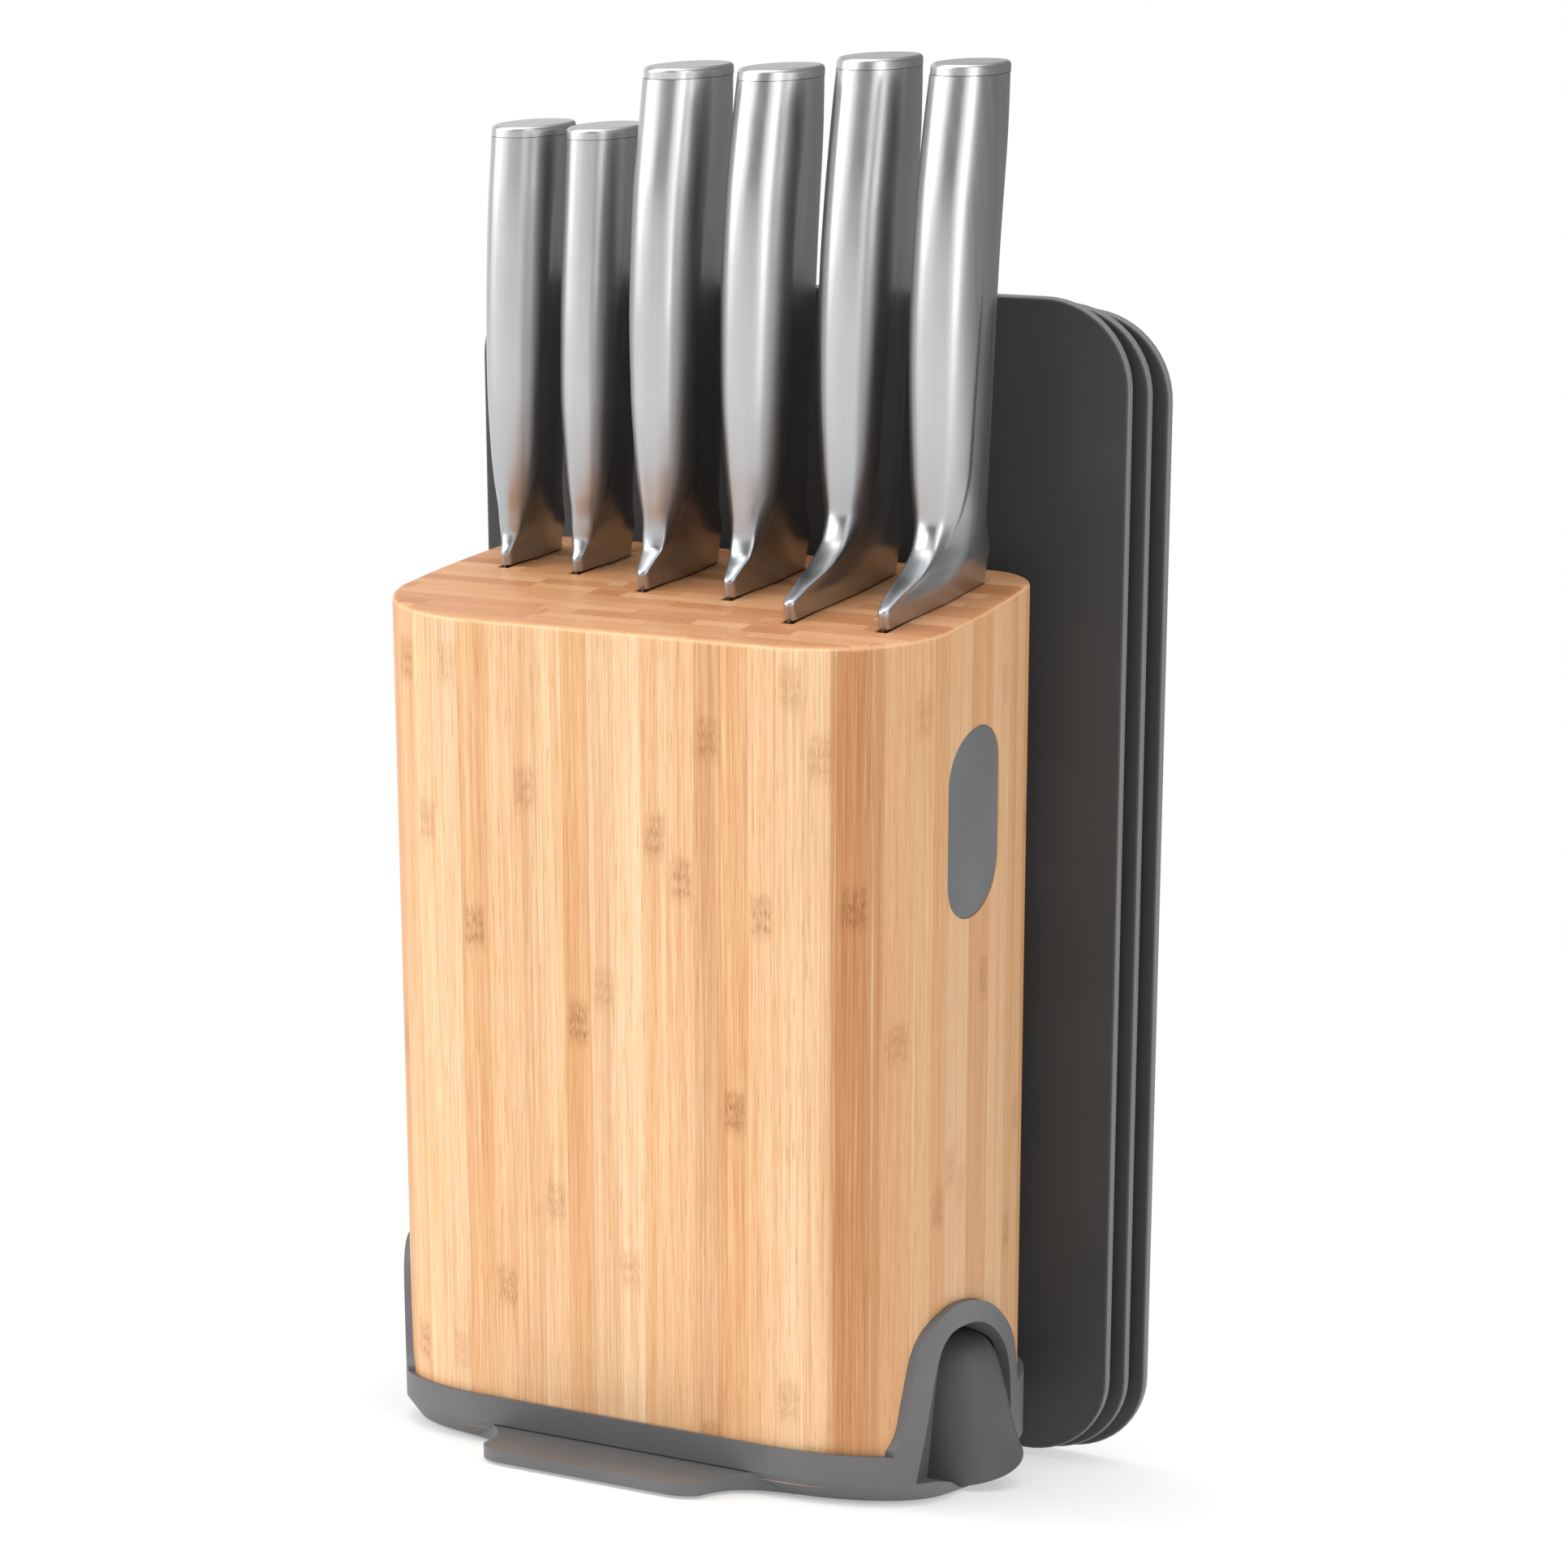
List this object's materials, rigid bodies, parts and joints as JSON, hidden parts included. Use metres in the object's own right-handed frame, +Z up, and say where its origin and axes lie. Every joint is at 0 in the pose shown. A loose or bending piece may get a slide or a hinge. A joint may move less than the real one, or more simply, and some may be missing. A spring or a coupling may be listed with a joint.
{
  "type": "knife block with knives and cutting boards",
  "caption": "Bamboo knife block leaning forward on a dark moulded base, with steel-handled knives in its slots and flat cutting boards racked behind.",
  "frame": {"origin": "middle of the bounding box on the ground plane that the pads and the rack floor stand on", "axes": "+Z up from the ground, -Y towards the user (the block leans 16.5 degrees that way), +X to the user's right, on the side of the badge"},
  "size_m": [0.1932, 0.1994, 0.3558],
  "materials": {
    "bamboo": "oiled satin, vertical strips",
    "base_plastic": "satin moulded",
    "leg_plastic": "satin moulded",
    "badge_plastic": "satin",
    "board_plastic": "fine matte texture",
    "handle_steel": "brushed",
    "cap_steel": "brushed",
    "blade_steel": "satin ground",
    "pad_rubber": "matte",
    "screw_steel": "zinc plated"
  },
  "bodies": {
    "block": {"bamboo_left_cheek": "bamboo", "bamboo_divider_1": "bamboo", "bamboo_divider_2": "bamboo", "bamboo_divider_3": "bamboo", "bamboo_divider_4": "bamboo", "bamboo_divider_5": "bamboo", "bamboo_right_cheek": "bamboo", "bamboo_spacer_1": "bamboo", "bamboo_spacer_2": "bamboo", "bamboo_spacer_3": "bamboo", "bamboo_spacer_4": "bamboo", "bamboo_spacer_5": "bamboo", "bamboo_spacer_6": "bamboo", "base_tray": "base_plastic", "board_rack": "base_plastic", "side_leg_left": "leg_plastic", "side_leg_right": "leg_plastic", "anti_slip_pads": "pad_rubber", "tray_screws": "screw_steel", "side_badge": "badge_plastic"},
    "paring_knife": {"paring_knife_blade": "blade_steel", "paring_knife_handle": "handle_steel", "paring_knife_end_cap": "cap_steel"},
    "utility_knife": {"utility_knife_blade": "blade_steel", "utility_knife_handle": "handle_steel", "utility_knife_end_cap": "cap_steel"},
    "carving_knife": {"carving_knife_blade": "blade_steel", "carving_knife_handle": "handle_steel", "carving_knife_end_cap": "cap_steel"},
    "bread_knife": {"bread_knife_blade": "blade_steel", "bread_knife_handle": "handle_steel", "bread_knife_end_cap": "cap_steel"},
    "santoku_knife": {"santoku_knife_blade": "blade_steel", "santoku_knife_handle": "handle_steel", "santoku_knife_end_cap": "cap_steel"},
    "chefs_knife": {"chefs_knife_blade": "blade_steel", "chefs_knife_handle": "handle_steel", "chefs_knife_end_cap": "cap_steel"},
    "board_1": {"cutting_board_1": "board_plastic"},
    "board_2": {"cutting_board_2": "board_plastic"},
    "board_3": {"cutting_board_3": "board_plastic"}
  },
  "joints": [
    {"name": "paring_knife_slide", "type": "slide", "parent": "block", "child": "paring_knife", "axis": [0, -0.284, 0.9588], "range_m": [0, 0.09]},
    {"name": "utility_knife_slide", "type": "slide", "parent": "block", "child": "utility_knife", "axis": [0, -0.284, 0.9588], "range_m": [0, 0.12]},
    {"name": "carving_knife_slide", "type": "slide", "parent": "block", "child": "carving_knife", "axis": [0, -0.284, 0.9588], "range_m": [0, 0.15]},
    {"name": "bread_knife_slide", "type": "slide", "parent": "block", "child": "bread_knife", "axis": [0, -0.284, 0.9588], "range_m": [0, 0.165]},
    {"name": "santoku_knife_slide", "type": "slide", "parent": "block", "child": "santoku_knife", "axis": [0, -0.284, 0.9588], "range_m": [0, 0.18]},
    {"name": "chefs_knife_slide", "type": "slide", "parent": "block", "child": "chefs_knife", "axis": [0, -0.284, 0.9588], "range_m": [0, 0.185]},
    {"name": "board_1_slide", "type": "slide", "parent": "block", "child": "board_1", "axis": [0, -0.284, 0.9588], "range_m": [0, 0.08]},
    {"name": "board_2_slide", "type": "slide", "parent": "block", "child": "board_2", "axis": [0, -0.284, 0.9588], "range_m": [0, 0.08]},
    {"name": "board_3_slide", "type": "slide", "parent": "block", "child": "board_3", "axis": [0, -0.284, 0.9588], "range_m": [0, 0.08]}
  ]
}
